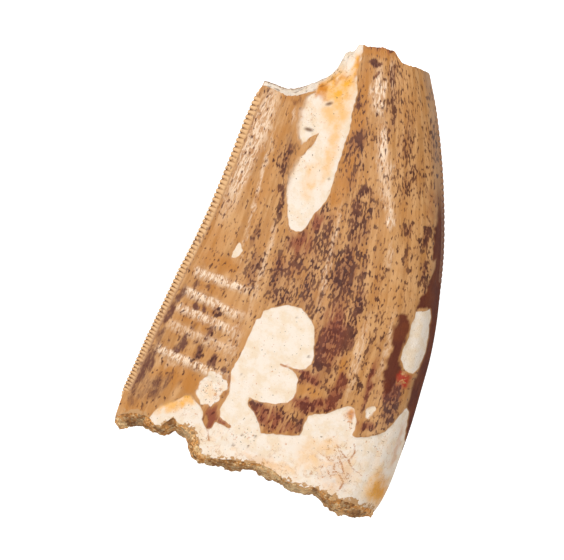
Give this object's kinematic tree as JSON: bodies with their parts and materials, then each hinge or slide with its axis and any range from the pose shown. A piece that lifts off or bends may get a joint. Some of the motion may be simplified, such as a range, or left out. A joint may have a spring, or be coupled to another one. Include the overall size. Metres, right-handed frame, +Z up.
{
  "type": "fossil dinosaur tooth",
  "caption": "Broken crown of a large meat-eating dinosaur's tooth: a flattened cone with saw edges, enamel flaked from pale dentine, and sandstone on its broken base.",
  "frame": {"origin": "middle of the base of the bounding box, on the surface that the tooth lies on", "axes": "+Y along the crown towards the missing tip, +X towards the front saw edge, +Z up through the outer face"},
  "size_m": [0.0334, 0.0533, 0.0126],
  "materials": {
    "enamel": "satin",
    "sandstone": "matte"
  },
  "bodies": {
    "root": {"tooth": "enamel", "sandstone_matrix": "sandstone"}
  },
  "joints": []
}
